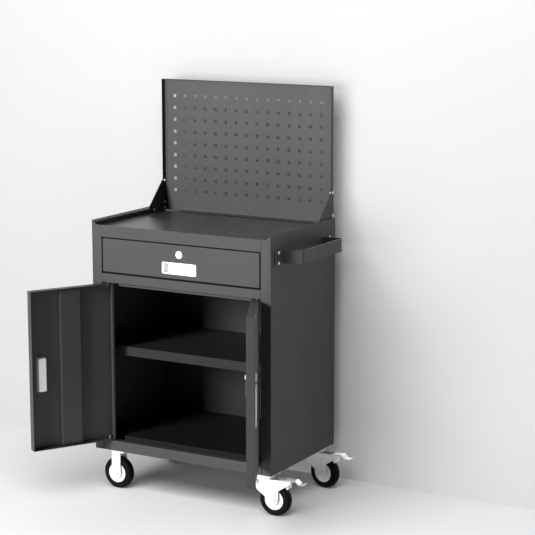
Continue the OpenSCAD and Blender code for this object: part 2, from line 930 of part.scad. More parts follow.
module swivel_plate() {
    difference() {
        union() {
            plate_blank();
            rod_z(race_r, 0, 0, floor_gap - plate_t - race_h, floor_gap - plate_t);
            rod_z(king_r, 0, 0, fork_top - fork_top_t - 0.5, floor_gap - plate_t);
            rod_z(king_head_r, 0, 0, fork_top - fork_top_t - 0.5 - king_head_h, fork_top - fork_top_t - 0.5);
        }
        plate_holes();
    }
}

module fork_side() {
    under = fork_top - fork_top_t;
    polygon([[-20, under], [-22, under - 18], [-18, 78], [8, 60], [trail - 14, wheel_r],
        [trail + 14, wheel_r], [trail + 17, 81], [arm_x, pedal_z - 1], [arm_x, pedal_z + 4],
        [pedal_x - 8, pedal_z + 5], [30, under]]);
    translate([trail, wheel_r]) circle(r = 14, $fn = round_fn);
}

module swivel_fork() {
    under = fork_top - fork_top_t;
    difference() {
        union() {
            rod_z(fork_r, 0, 0, under, fork_top);
            difference() {
                rod_z(fork_r, 0, 0, under - skirt_h, under);
                rod_z(fork_r - leg_t, 0, 0, under - skirt_h - 1, under + 1);
                block(-14, fork_r + 1, -fork_r - 1, fork_r + 1, under - skirt_h - 1, under);
            }
            for (s = [0, 1]) mirror([0, s, 0]) along_y(leg_in, leg_in + leg_t) fork_side();
            rod_y(pedal_pin_r, pedal_x, pedal_z, -leg_in - leg_t - 1.5, leg_in + leg_t + 1.5);
        }
        rod_z(king_r + fit, 0, 0, under - 1, fork_top + 1);
        rod_y(axle_r + fit, trail, wheel_r, -40, 40);
    }
}

// A lever between the fork's arms, with a foot pad outside and a shoe over the tyre
module brake_pedal() {
    difference() {
        along_y(-pedal_w / 2, pedal_w / 2) polygon([
            [pedal_x - 6, pedal_z + 4], [pedal_x + 6, pedal_z + 6], [arm_x + 4, pedal_z + 8.5],
            [arm_x + 10, pedal_z + 8.5], [arm_x + 22, pedal_z - 1.5], [arm_x + 39, pedal_z - 1],
            [arm_x + 39, pedal_z - 1 - pedal_t], [arm_x + 21, pedal_z - 1.5 - pedal_t],
            [arm_x + 9, pedal_z + 8.5 - pedal_t], [arm_x, pedal_z + 8.5 - pedal_t],
            [pedal_x + 8, pedal_z - 4], [pedal_x + 12, pedal_z - 19], [pedal_x + 6, pedal_z - 23.5],
            [pedal_x - 6, pedal_z - 6]]);
        rod_y(pedal_pin_r + fit, pedal_x, pedal_z, -leg_in, leg_in);
    }
}

module rigid_at(front) { translate([-rigid_x, front ? -caster_y : caster_y, 0]) children(); }

module swivel_at(front) {
    translate([swivel_x, front ? -caster_y : caster_y, 0])
        rotate(front ? front_swivel : rear_swivel) children();
}

module rigid_fork_front() { color(zinc) rigid_at(true) rigid_fork(); }
module rigid_fork_rear() { color(zinc) rigid_at(false) rigid_fork(); }
module rigid_axles() { color(zinc) for (front = [true, false]) rigid_at(front) axle(0); }
module swivel_plate_front() { color(zinc) translate([swivel_x, -caster_y, 0]) swivel_plate(); }
module swivel_plate_rear() { color(zinc) translate([swivel_x, caster_y, 0]) swivel_plate(); }
module swivel_fork_front() { color(zinc) swivel_at(true) swivel_fork(); }
module swivel_fork_rear() { color(zinc) swivel_at(false) swivel_fork(); }
module swivel_axle_front() { color(zinc) swivel_at(true) axle(trail); }
module swivel_axle_rear() { color(zinc) swivel_at(false) axle(trail); }
module brake_pedal_front() { color(zinc) swivel_at(true) brake_pedal(); }
module brake_pedal_rear() { color(zinc) swivel_at(false) brake_pedal(); }
module hub_left_front() { color(zinc) rigid_at(true) hub(0); }
module hub_left_rear() { color(zinc) rigid_at(false) hub(0); }
module hub_right_front() { color(zinc) swivel_at(true) hub(trail); }
module hub_right_rear() { color(zinc) swivel_at(false) hub(trail); }
module tyre_left_front() { color(rubber) rigid_at(true) tyre(0); }
module tyre_left_rear() { color(rubber) rigid_at(false) tyre(0); }
module tyre_right_front() { color(rubber) swivel_at(true) tyre(trail); }
module tyre_right_rear() { color(rubber) swivel_at(false) tyre(trail); }

module caster_bolts() {
    low = floor_gap - plate_t;
    top = floor_gap + base_t;
    color(zinc) for (cx = [-rigid_x, swivel_x], cy = [-1, 1], sx = [-1, 1], sy = [-1, 1]) {
        x = cx + sx * bolt_dx;
        y = cy * caster_y + sy * bolt_dy;
        rod_z(caster_bolt_r, x, y, low, top + 6);
        rod_z(caster_head_r, x, y, low - caster_head_h, low);
        rod_z(caster_head_r, x, y, top, top + 5);
    }
}

side_left();
side_right();
back_panel();
worktop();
top_rail();
middle_rail();
bottom_rail();
floor_panel();
base_channel_left();
base_channel_right();
shelf();
shelf_clips();
pegboard();
gusset_left();
gusset_right();
gusset_screws();
side_handle();
handle_screws();
slide_outer_left();
slide_outer_right();
hinge_pins();
drawer_front();
drawer_box();
drawer_pull();
slide_inner_left();
slide_inner_right();
slide_middle_left();
slide_middle_right();
drawer_lock_body();
drawer_lock_core();
drawer_lock_cam();
left_door_skin();
left_door_stiffener();
left_door_pull();
right_door_skin();
right_door_stiffener();
right_door_pull();
door_lock_body();
door_lock_core();
door_lock_cam();
rigid_fork_front();
rigid_fork_rear();
rigid_axles();
swivel_plate_front();
swivel_plate_rear();
caster_bolts();
swivel_fork_front();
swivel_fork_rear();
swivel_axle_front();
swivel_axle_rear();
brake_pedal_front();
brake_pedal_rear();
hub_left_front();
hub_left_rear();
hub_right_front();
hub_right_rear();
tyre_left_front();
tyre_left_rear();
tyre_right_front();
tyre_right_rear();
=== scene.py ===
"""Looks of the rolling tool chest: sheet metal, plated fittings, wheels, light and camera."""
import json
import math

import bmesh
import bpy
from mathutils import Matrix, Vector
from mathutils.bvhtree import BVHTree

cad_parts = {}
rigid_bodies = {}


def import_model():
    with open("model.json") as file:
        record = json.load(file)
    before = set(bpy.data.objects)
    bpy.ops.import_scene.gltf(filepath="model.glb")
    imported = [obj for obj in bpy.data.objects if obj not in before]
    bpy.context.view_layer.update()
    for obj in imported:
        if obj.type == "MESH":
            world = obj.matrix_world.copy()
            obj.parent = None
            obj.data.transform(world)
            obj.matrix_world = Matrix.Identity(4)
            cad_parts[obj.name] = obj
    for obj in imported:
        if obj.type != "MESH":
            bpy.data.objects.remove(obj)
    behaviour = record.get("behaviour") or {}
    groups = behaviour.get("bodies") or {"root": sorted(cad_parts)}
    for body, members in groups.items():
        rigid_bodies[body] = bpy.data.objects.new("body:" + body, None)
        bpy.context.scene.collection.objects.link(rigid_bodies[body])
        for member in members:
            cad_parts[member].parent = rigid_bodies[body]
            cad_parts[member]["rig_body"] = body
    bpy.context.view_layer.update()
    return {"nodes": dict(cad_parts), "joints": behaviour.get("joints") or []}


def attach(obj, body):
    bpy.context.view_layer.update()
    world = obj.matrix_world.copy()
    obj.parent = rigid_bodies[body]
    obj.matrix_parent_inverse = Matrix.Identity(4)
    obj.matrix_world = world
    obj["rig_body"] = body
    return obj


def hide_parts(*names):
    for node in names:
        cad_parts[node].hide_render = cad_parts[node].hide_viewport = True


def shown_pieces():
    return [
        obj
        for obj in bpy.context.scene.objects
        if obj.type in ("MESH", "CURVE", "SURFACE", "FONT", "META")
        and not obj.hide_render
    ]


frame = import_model()
MM = 0.001
NODES = frame["nodes"]
JOINTS = {j["name"]: j for j in frame["joints"]}


# ---- Camera ----

CAMERA_AT = (2.7695, -4.5614, 1.6835)
CAMERA_TURN = 29.5
CAMERA_TILT = 10.45
CAMERA_LENS = 118.2
CAMERA_SENSOR = 36
CAMERA_REACH = 60

camera_data = bpy.data.cameras.new("camera")
camera_data.lens = CAMERA_LENS
camera_data.sensor_width = CAMERA_SENSOR
camera_data.clip_end = CAMERA_REACH
camera = bpy.data.objects.new("camera", camera_data)
camera.location = CAMERA_AT
camera.rotation_euler = (math.radians(90 - CAMERA_TILT), 0, math.radians(CAMERA_TURN))
bpy.context.scene.collection.objects.link(camera)
bpy.context.scene.camera = camera
bpy.context.scene.view_settings.view_transform = "Standard"


# ---- Materials ----

EDGE_SAMPLES = 4


class Shader:
    """A material with its node tree, and short ways to add nodes to it.

    Noise and cell scales are per metre. Bump distances and edge radii are in metres.
    """

    INPUTS = {"color": "Base Color", "metal": "Metallic", "rough": "Roughness", "ior": "IOR",
              "specular": "Specular IOR Level"}

    def __init__(self, name):
        self.mat = bpy.data.materials.new(name)
        self.mat.use_nodes = True
        self.tree = self.mat.node_tree
        self.bsdf = next(n for n in self.tree.nodes if n.type == "BSDF_PRINCIPLED")
        self.coords = self.tree.nodes.new("ShaderNodeTexCoord").outputs["Object"]

    def link(self, value, socket):
        if isinstance(value, bpy.types.NodeSocket):
            self.tree.links.new(value, socket)
        else:
            socket.default_value = value

    def noise(self, scale, detail=2.0, rough=0.5, stretch=None):
        vector = self.coords
        if stretch:
            mapping = self.tree.nodes.new("ShaderNodeMapping")
            mapping.inputs["Scale"].default_value = stretch
            self.tree.links.new(vector, mapping.inputs["Vector"])
            vector = mapping.outputs["Vector"]
        node = self.tree.nodes.new("ShaderNodeTexNoise")
        self.tree.links.new(vector, node.inputs["Vector"])
        node.inputs["Scale"].default_value = scale
        node.inputs["Detail"].default_value = detail
        node.inputs["Roughness"].default_value = rough
        return node.outputs["Fac"]

    def cells(self, scale):
        node = self.tree.nodes.new("ShaderNodeTexVoronoi")
        self.tree.links.new(self.coords, node.inputs["Vector"])
        node.inputs["Scale"].default_value = scale
        return node.outputs["Distance"]

    def ramp(self, value, low, high, out_low=0.0, out_high=1.0):
        node = self.tree.nodes.new("ShaderNodeMapRange")
        self.link(value, node.inputs["Value"])
        node.inputs["From Min"].default_value = low
        node.inputs["From Max"].default_value = high
        node.inputs["To Min"].default_value = out_low
        node.inputs["To Max"].default_value = out_high
        return node.outputs["Result"]

    def math(self, operation, a, b=0.0):
        node = self.tree.nodes.new("ShaderNodeMath")
        node.operation = operation
        self.link(a, node.inputs[0])
        self.link(b, node.inputs[1])
        return node.outputs[0]

    def mix(self, factor, a, b):
        node = self.tree.nodes.new("ShaderNodeMix")
        node.data_type = "RGBA"
        self.link(factor, node.inputs["Factor"])
        self.link(a, node.inputs["A"])
        self.link(b, node.inputs["B"])
        return node.outputs["Result"]

    def edges(self, radius, low, high):
        """About 1 on sharp outer edges within radius of them, 0 elsewhere."""
        bevel = self.tree.nodes.new("ShaderNodeBevel")
        bevel.inputs["Radius"].default_value = radius
        bevel.samples = EDGE_SAMPLES
        geometry = self.tree.nodes.new("ShaderNodeNewGeometry")
        dot = self.tree.nodes.new("ShaderNodeVectorMath")
        dot.operation = "DOT_PRODUCT"
        self.tree.links.new(bevel.outputs["Normal"], dot.inputs[0])
        self.tree.links.new(geometry.outputs["Normal"], dot.inputs[1])
        return self.ramp(dot.outputs["Value"], high, low)

    def bump(self, height, distance, strength=1.0, under=None):
        node = self.tree.nodes.new("ShaderNodeBump")
        node.inputs["Distance"].default_value = distance
        node.inputs["Strength"].default_value = strength
        self.link(height, node.inputs["Height"])
        if under is not None:
            self.tree.links.new(under, node.inputs["Normal"])
        self.tree.links.new(node.outputs["Normal"], self.bsdf.inputs["Normal"])
        return node.outputs["Normal"]

    def set(self, **values):
        for key, value in values.items():
            self.link(value, self.bsdf.inputs[self.INPUTS[key]])


COOL = 1.01


def grey(v):
    """A grey of that tone, with the faint blue of real paint and plate."""
    return (v, v, v * COOL, 1.0)


def powder_coat(name, tone, rough=0.46, specular=0.22):
    """Satin powder coat: orange peel, fine grain, faint cloudiness, dust and paler rubbed edges."""
    s = Shader(name)
    peel = s.noise(420, 2.0, 0.45)
    fine = s.cells(1500)
    cloud = s.noise(3.5, 4.0, 0.55)
    streak = s.noise(11, 3.0, 0.6, stretch=(1.0, 1.0, 0.25))
    patchy = s.ramp(s.noise(60, 4.0, 0.65), 0.42, 0.66)
    rub = s.math("MULTIPLY", s.edges(0.0016, 0.80, 0.97), patchy)
    base = s.mix(s.ramp(cloud, 0.3, 0.7), grey(tone * 0.94), grey(tone * 1.06))
    flecked = s.mix(s.ramp(fine, 0.0, 0.55, 0.0, 0.16), base, grey(tone * 1.5))
    s.set(color=s.mix(s.math("MULTIPLY", rub, 0.35), flecked, grey(tone * 2.4 + 0.03)))
    uneven = s.ramp(streak, 0.35, 0.7, -0.04, 0.05)
    haze = s.math("ADD", uneven, s.ramp(peel, 0.3, 0.7, -0.03, 0.03))
    s.set(rough=s.math("ADD", haze, rough), ior=1.5, specular=specular)
    lower = s.bump(peel, 0.00010, 0.55)
    s.bump(fine, 0.00005, 0.4, under=lower)
    return s.mat


def zinc(name, tone, rough):
    """Bright zinc plate: faint spangle, drawn streaks and duller patches."""
    s = Shader(name)
    patch = s.cells(260)
    drawn = s.noise(90, 3.0, 0.6, stretch=(1.0, 1.0, 9.0))
    dull = s.noise(24, 5.0, 0.6)
    bright = min(tone * 1.05, 0.95)
    color = s.mix(s.ramp(patch, 0.1, 0.7), grey(tone * 0.93), grey(bright))
    s.set(color=s.mix(s.ramp(dull, 0.55, 0.8, 0.0, 0.35), color, grey(tone * 0.72)), metal=0.3)
    worn = s.ramp(dull, 0.4, 0.8, rough, rough + 0.12)
    s.set(rough=s.math("ADD", s.ramp(drawn, 0.3, 0.7, -0.05, 0.07), worn))
    height = s.math("ADD", s.math("MULTIPLY", drawn, 0.6), s.math("MULTIPLY", patch, 0.4))
    s.bump(height, 0.00005, 0.35)
    return s.mat


def bright_plate(name, tone, rough):
    """Nickel-bright cast fitting with a fine satin brushing and handling haze."""
    s = Shader(name)
    brushed = s.noise(220, 3.0, 0.55, stretch=(0.15, 1.0, 1.0))
    haze = s.noise(38, 4.0, 0.6)
    s.set(color=s.mix(s.ramp(haze, 0.4, 0.75), grey(tone), grey(tone * 0.94)), metal=0.35)
    handled = s.ramp(haze, 0.35, 0.75, rough, rough + 0.08)
    s.set(rough=s.math("ADD", s.ramp(brushed, 0.3, 0.7, -0.02, 0.03), handled))
    s.bump(brushed, 0.00001, 0.3)
    return s.mat


def rubber(name, tone, dust_tone):
    """Matt tyre rubber with a fine grain and floor dust."""
    s = Shader(name)
    grain = s.cells(900)
    dust = s.noise(45, 5.0, 0.65)
    s.set(color=s.mix(s.ramp(dust, 0.5, 0.78, 0.0, 0.4), grey(tone), grey(dust_tone)))
    s.set(rough=s.ramp(dust, 0.4, 0.75, 0.58, 0.8), specular=0.08)
    height = s.math("ADD", s.math("MULTIPLY", grain, 0.5), s.math("MULTIPLY", dust, 0.6))
    s.bump(height, 0.00012, 0.5)
    return s.mat


PAINT = powder_coat("powder_coat_grey", 0.046)
TOP_PAINT = powder_coat("powder_coat_top", 0.040, 0.31, 0.46)
# The back panel, shelf and inner sheets are the same grey powder coat as the rest, in darker
# copies: their lower tones are painted shade for the dark inside of the cabinet.
BACK_PAINTED_SHADE = powder_coat("powder_coat_back_painted_shade", 0.011, 0.46, 0.30)
SHELF_PAINTED_SHADE = powder_coat("powder_coat_shelf_painted_shade", 0.019, 0.54, 0.12)
INNER_PAINTED_SHADE = powder_coat("powder_coat_inner_painted_shade", 0.010, 0.60, 0.06)
ZINC = zinc("zinc_plate", 0.88, 0.34)
ZINC_DULL = zinc("zinc_plate_slides", 0.62, 0.36)
# A darker copy of the zinc plate for hinge pins, shelf clips and lock cams: its low tone is painted
# shade.
ZINC_PAINTED_SHADE = zinc("zinc_plate_pins_painted_shade", 0.16, 0.48)
BRIGHT = bright_plate("bright_plate", 0.84, 0.30)
RUBBER = rubber("tyre_rubber", 0.003, 0.012)


# ---- Mesh helpers ----

def add_mesh(name, mesh, body, material, replaces=()):
    mesh.materials.clear()
    mesh.materials.append(material)
    piece = bpy.data.objects.new(name, mesh)
    bpy.context.scene.collection.objects.link(piece)
    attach(piece, body)
    if replaces:
        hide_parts(*replaces)
    return piece


def applied(mesh, *modifiers):
    """A new mesh with the modifiers' result. Each is (type, {setting: value})."""
    scratch = bpy.data.objects.new("scratch", mesh)
    bpy.context.scene.collection.objects.link(scratch)
    for kind, settings in modifiers:
        m = scratch.modifiers.new(kind.lower(), kind)
        for key, value in settings.items():
            setattr(m, key, value)
    graph = bpy.context.evaluated_depsgraph_get()
    result = bpy.data.meshes.new_from_object(scratch.evaluated_get(graph), depsgraph=graph)
    bpy.data.objects.remove(scratch)
    return result


def corners(points):
    return Vector(map(min, zip(*points))), Vector(map(max, zip(*points)))


PROBE = 0.05 * MM
SAMPLES = (0.1, 0.5, 0.9)
OPEN_WIDTH = 1.0


def metal_width(tree, edge):
    """How much metal lies beside an edge, measured just under each of its two faces."""
    a, b = (v.co for v in edge.verts)
    along = (b - a).normalized()
    widths = []
    for face in edge.link_faces:
        inward = face.normal.cross(along)
        if inward.dot(face.calc_center_median() - a) < 0:
            inward = -inward
        for part in SAMPLES:
            start = a.lerp(b, part) + inward * PROBE - face.normal * PROBE
            hit = tree.ray_cast(start, inward)
            widths.append(hit[3] + PROBE if hit[0] else OPEN_WIDTH)
    return min(widths)


SHARP = math.radians(28)
FLAT = math.radians(0.6)
WELD = 0.02 * MM


def clean_copy(node):
    bm = bmesh.new()
    bm.from_mesh(NODES[node].data)
    bmesh.ops.remove_doubles(bm, verts=bm.verts, dist=WELD)
    bmesh.ops.dissolve_limit(bm, angle_limit=FLAT, verts=bm.verts, edges=bm.edges)
    bmesh.ops.connect_verts_concave(bm, faces=bm.faces)
    bm.normal_update()
    return bm


RAIL_LO, RAIL_HI = corners([v.co for v in NODES["top_rail"].data.vertices])
RAIL_END_NEAR = 0.6 * MM
RAIL_UNDER = 0.5 * MM
RAIL_FACE_DEPTH = 3 * MM


def at_rail_end(edge):
    """True where the top rail and the stiles are welded flush."""
    return all(abs(abs(v.co.x) - RAIL_HI.x) < RAIL_END_NEAR and v.co.z > RAIL_LO.z - RAIL_UNDER
               and v.co.y < RAIL_LO.y + RAIL_FACE_DEPTH for v in edge.verts)


SHEET_EDGE = 3.2 * MM
WIDTH_SHARE = 0.42
ARC_STEPS = 3


def round_edges(bm, fold, cut):
    """Rounds sharp edges: folds of sheet by fold, the sheet's own cut edges by cut."""
    layer = bm.edges.layers.float.new("bevel_weight_edge")
    tree = BVHTree.FromBMesh(bm)
    widest = max(fold, cut)
    for e in bm.edges:
        if len(e.link_faces) != 2 or e.calc_face_angle(0.0) < SHARP or at_rail_end(e):
            continue
        width = metal_width(tree, e)
        want = fold if width > SHEET_EDGE and e.is_convex else cut
        e[layer] = min(want, WIDTH_SHARE * width) / widest
    for f in bm.faces:
        f.smooth = True
    mesh = bpy.data.meshes.new("rounded")
    bm.to_mesh(mesh)
    bm.free()
    mesh = applied(mesh, ("BEVEL", {
        "width": widest, "segments": ARC_STEPS, "limit_method": "WEIGHT",
        "use_clamp_overlap": False, "loop_slide": False}))
    bm = bmesh.new()
    bm.from_mesh(mesh)
    bmesh.ops.connect_verts_concave(bm, faces=[f for f in bm.faces if len(f.verts) > 4])
    bm.to_mesh(mesh)
    bm.free()
    return smoothed(mesh)


CREASE = math.radians(38)
FLAT_WEIGHT = 60


def smoothed(mesh):
    """Smooth shading in which large flat faces keep their own normal."""
    mesh.polygons.foreach_set("use_smooth", [True] * len(mesh.polygons))
    mesh.set_sharp_from_angle(angle=CREASE)
    return applied(mesh, ("WEIGHTED_NORMAL", {
        "mode": "FACE_AREA", "weight": FLAT_WEIGHT, "keep_sharp": True}))


def soften(node, material, fold=1.6 * MM, cut=0.4 * MM):
    """Shows a CAD node as a copy with the rounding that folded, cut or cast metal has."""
    mesh = round_edges(clean_copy(node), fold, cut)
    body = NODES[node]["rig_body"]
    return add_mesh(node + "_form", mesh, body, material, [node])


# ---- Sheet metal ----

SHEETS = ["side_left", "side_right", "top_rail", "middle_rail", "bottom_rail", "gusset_left",
          "gusset_right", "drawer_front", "left_door_skin", "left_door_stiffener",
          "right_door_skin", "right_door_stiffener", "pegboard"]
# The inner sheets, back panel and shelf take the darker copies of the paint, whose low tones are
# painted shade.
INNER_SHEETS = ["floor_panel", "base_channel_left", "base_channel_right", "drawer_box"]
for node in SHEETS:
    soften(node, PAINT)
for node in INNER_SHEETS:
    soften(node, INNER_PAINTED_SHADE)
soften("worktop", TOP_PAINT)
soften("back_panel", BACK_PAINTED_SHADE)
soften("shelf", SHELF_PAINTED_SHADE)
soften("side_handle", PAINT, 0.8 * MM, 0.8 * MM)

SLIDES = ["slide_outer_left", "slide_outer_right", "slide_middle_left", "slide_middle_right",
          "slide_inner_left", "slide_inner_right"]
# Hinge pins, shelf clips and lock cams take the darkened plate, whose low tone is painted shade.
SHADE_DARKENED_PLATED = ["hinge_pins", "shelf_clips", "drawer_lock_cam", "door_lock_cam"]
PLATED = ["rigid_fork_front", "rigid_fork_rear", "swivel_plate_front", "swivel_plate_rear",
          "swivel_fork_front", "swivel_fork_rear", "brake_pedal_front", "brake_pedal_rear"]
for node in SLIDES:
    soften(node, ZINC_DULL, 1.0 * MM, 0.3 * MM)
for node in SHADE_DARKENED_PLATED:
    soften(node, ZINC_PAINTED_SHADE, 0.8 * MM, 0.4 * MM)
for node in PLATED:
    soften(node, ZINC, 0.8 * MM, 0.4 * MM)


# ---- Shapes made of rings of points, with their axis along Y ----

TURN = 72
ANGLES = [2 * math.pi * (i + 0.5) / TURN for i in range(TURN)]


def rounded(half_x, half_z, r, depth):
    """A rectangle with round corners. Sizes, here and below, are in millimetres."""
    return [Vector((r * math.cos(t) + math.copysign(half_x - r, math.cos(t)), depth,
                    r * math.sin(t) + math.copysign(half_z - r, math.sin(t)))) * MM for t in ANGLES]


def circle(r, depth):
    return rounded(r, r, r, depth)


def polar(reach, depth):
    """A ring whose radius follows a rule."""
    return [Vector((reach(t) * math.cos(t), depth, reach(t) * math.sin(t))) * MM for t in ANGLES]


def hexagon(inner, depth):
    sixth = math.pi / 3
    return polar(lambda t: inner / math.cos((t + sixth / 2) % sixth - sixth / 2), depth)


def cross(half_w, half_l, depth):
    def reach(t):
        c, s = abs(math.cos(t)), abs(math.sin(t))
        return max(min(half_l / c, half_w / s), min(half_w / c, half_l / s))
    return polar(reach, depth)


def skin(rings, closed=False):
    """A solid skin over rings, in order. A closed one is a tube joined end to end."""
    bm = bmesh.new()
    rows = [[bm.verts.new(p) for p in ring] for ring in rings]
    pairs = list(zip(rows, rows[1:]))
    if closed:
        pairs.append((rows[-1], rows[0]))
    for a, b in pairs:
        for i in range(TURN):
            j = (i + 1) % TURN
            bm.faces.new((a[i], a[j], b[j], b[i]))
    if not closed:
        bm.faces.new(rows[0])
        bm.faces.new(rows[-1])
    bmesh.ops.recalc_face_normals(bm, faces=bm.faces)
    mesh = bpy.data.meshes.new("skin")
    bm.to_mesh(mesh)
    bm.free()
    return mesh


def cut_by(mesh, cutter_mesh):
    cutter = bpy.data.objects.new("cutter", cutter_mesh)
    bpy.context.scene.collection.objects.link(cutter)
    result = applied(mesh, ("BOOLEAN", {
        "object": cutter, "operation": "DIFFERENCE", "solver": "EXACT"}))
    bpy.data.objects.remove(cutter)
    return result


def lathe(profile):
    """A turned ring from a closed profile of (radius, depth) points."""
    return skin([circle(r, y) for r, y in profile], closed=True)


def mirrored(profile):
    """The profile, and then its mirror image on the other side of depth 0."""
    return profile + [(r, -y) for r, y in reversed(profile)]


def joined(meshes, places):
    """One mesh of copies, each at its place."""
    bm = bmesh.new()
    for mesh, place in zip(meshes, places):
        part = mesh.copy()
        part.transform(place)
        bm.from_mesh(part)
        bpy.data.meshes.remove(part)
    result = bpy.data.meshes.new("joined")
    bm.to_mesh(result)
    bm.free()
    return result


def axis_frame(at, axis):
    """A place with its Y along axis and its Z as upright as it can be."""
    y = Vector(axis).normalized()
    up = Vector((0, 0, 1)) if abs(y.z) < 0.9 else Vector((0, 1, 0))
    x = y.cross(up).normalized()
    rotation = Matrix((x, y, x.cross(y))).transposed().to_4x4()
    return Matrix.Translation(at) @ rotation


def door_place(hinge):
    """Turns a door's closed place into its place at rest."""
    pin = Matrix.Translation(JOINTS[hinge]["pos_m"])
    closing = max(JOINTS[hinge]["range_deg"], key=abs)
    return pin @ Matrix.Rotation(math.radians(-closing), 4, "Z") @ pin.inverted()


def box_in(node, place, near=math.inf):
    """The lowest and highest corners, in a place's own axes, of a node's points near it."""
    points = [place.inverted() @ v.co for v in NODES[node].data.vertices]
    return corners([p for p in points if p.length < near])


def solids_of(node):
    """The points of each separate solid in a node, in a steady order."""
    bm = clean_copy(node)
    left = set(bm.verts)
    solids = []
    for first in bm.verts:
        if first not in left:
            continue
        left.discard(first)
        group = [first]
        for v in group:
            for e in v.link_edges:
                other = e.other_vert(v)
                if other in left:
                    left.discard(other)
                    group.append(other)
        solids.append([v.co.copy() for v in group])
    bm.free()
    return sorted(solids, key=lambda points: tuple(corners(points)[0]))


def stand_in(node, mesh, material):
    """Shows a made mesh in place of a CAD node."""
    return add_mesh(node + "_form", smoothed(mesh), NODES[node]["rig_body"], material, [node])


PLACES = {"left_door": door_place("left_door_hinge"),
          "right_door": door_place("right_door_hinge")}
PLACES["door_lock"] = PLACES["right_door"]


def front_of(node):
    """The place of a fitting's front face, centred on its middle, and its size in millimetres."""
    place = PLACES.get(NODES[node]["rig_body"], Matrix())
    lo, hi = box_in(node, place)
    middle = Vector(((lo.x + hi.x) / 2, lo.y, (lo.z + hi.z) / 2))
    return place @ Matrix.Translation(middle), (hi - lo) / MM


# ---- Pulls and locks ----

PLATE_T = 1.5
RIM_END = 7
RIM_SIDE = 3


def pull(node):
    """A flat-rimmed plate with a deep cup that slopes in to a rounded floor."""
    place, size = front_of(node)
    long_x = size.x > size.z
    deep = size.y

    def loops(end_from, side_from, rows):
        """One ring for each row of (inset at the ends, inset at the sides, radius, depth)."""
        rings = []
        for end, side, r, depth in rows:
            across, up = end_from + end, side_from + side
            if not long_x:
                across, up = up, across
            rings.append(rounded(size.x / 2 - across, size.z / 2 - up, r, depth))
        return rings

    outside = loops(RIM_END, RIM_SIDE, [
        (4, 5, 2.5, deep), (1.9, 2.9, 3, deep - 0.7), (1.2, 2.1, 3.4, deep - 2.6),
        (0.1, 0.3, 4, 4), (0, 0, 4, 2.6), (0, 0, 4, PLATE_T)])
    plate = loops(0, 0, [
        (0.25, 0.25, 4, PLATE_T), (0, 0, 4, PLATE_T - 0.3), (0, 0, 4, 0.5), (0.2, 0.2, 3.9, 0.15),
        (0.7, 0.7, 3.6, 0)])
    cup = loops(RIM_END, RIM_SIDE, [
        (-0.6, -0.6, 3.2, 0), (0.3, 0.3, 3, 0.2), (0.9, 0.9, 2.8, 0.9), (1.3, 1.3, 2.6, 2.2),
        (2.6, 3, 2.4, deep - 6), (3.8, 4.4, 2.2, deep - 2.8), (6.5, 7, 2, deep - 1.4)])
    mesh = skin(outside + plate + cup)
    mesh.transform(place)
    stand_in(node, mesh, BRIGHT)


BARREL_R = 9
CORE_R = 6
CORE_FIT = 0.05
ROSETTE_T = 2


def lock_body(node):
    """A rosette with a rolled rim round the core, and its barrel behind."""
    place, size = front_of(node)
    r = size.x / 2
    bore = CORE_R + CORE_FIT
    mesh = lathe([
        (bore, size.y), (BARREL_R - 0.3, size.y), (BARREL_R, size.y - 0.3), (BARREL_R, ROSETTE_T),
        (r - 0.25, ROSETTE_T), (r, 1.75), (r, 1.1), (r - 0.3, 0.55), (r - 1.2, 0.14), (r - 2.6, 0),
        (r - 3.6, 0.05), (r - 4.2, 0.5), (r - 4.7, 0.6), (CORE_R + 0.6, 0.5), (bore + 0.15, 0.25),
        (bore, 0.4)])
    mesh.transform(place)
    stand_in(node, mesh, BRIGHT)


WAIST_R = 4
WAIST_FROM = 5.3
WAIST_TO = 3
SLOT_W = 0.8
SLOT_H = 4
SLOT_DEPTH = 6


def lock_core(node):
    """A round core with a chamfered face, a key slot and a waist for the cam."""
    place, size = front_of(node)
    end = size.y
    mesh = skin([
        circle(CORE_R - 0.3, end), circle(CORE_R, end - 0.3), circle(CORE_R, end - WAIST_TO),
        circle(WAIST_R, end - WAIST_TO), circle(WAIST_R, end - WAIST_FROM),
        circle(CORE_R, end - WAIST_FROM), circle(CORE_R, 0.5), circle(CORE_R - 0.2, 0.15),
        circle(CORE_R - 0.7, 0), rounded(SLOT_W + 0.35, SLOT_H + 0.3, SLOT_W + 0.35, 0),
        rounded(SLOT_W, SLOT_H, SLOT_W, 0.3), rounded(SLOT_W, SLOT_H, SLOT_W, SLOT_DEPTH)])
    mesh.transform(place)
    stand_in(node, mesh, BRIGHT)


for node in ["drawer_pull", "left_door_pull", "right_door_pull"]:
    pull(node)
for node in ["drawer_lock_body", "door_lock_body"]:
    lock_body(node)
for node in ["drawer_lock_core", "door_lock_core"]:
    lock_core(node)


# ---- Screws, bolts and axles ----

SCREW_R = 2.5
SCREW_HEAD_R = 4.3
SCREW_HEAD_H = 2.6
SCREW_NUT = 3.7


def pan_screw(length, nut):
    """A cross-recessed pan head at depth 0, its shank, and a nut near the far end if asked."""
    rings = [circle(SCREW_R - 0.4, length), circle(SCREW_R, length - 0.4)]
    if nut:
        rings += [circle(SCREW_R, length - 2), circle(SCREW_NUT - 0.3, length - 2),
                  hexagon(SCREW_NUT, length - 2.3), hexagon(SCREW_NUT, length - 5),
                  circle(SCREW_R, length - 5)]
    return skin(rings + [
        circle(SCREW_R, SCREW_HEAD_H), circle(4.2, SCREW_HEAD_H), circle(SCREW_HEAD_R, 2.3),
        circle(4.2, 1.5), circle(3.8, 0.75), circle(3.1, 0.22), circle(2.4, 0),
        cross(0.62, 1.95, 0), cross(0.5, 1.6, 1.3)])


HEAD_WIDE = 6 * MM
END_SLICE = 0.1 * MM


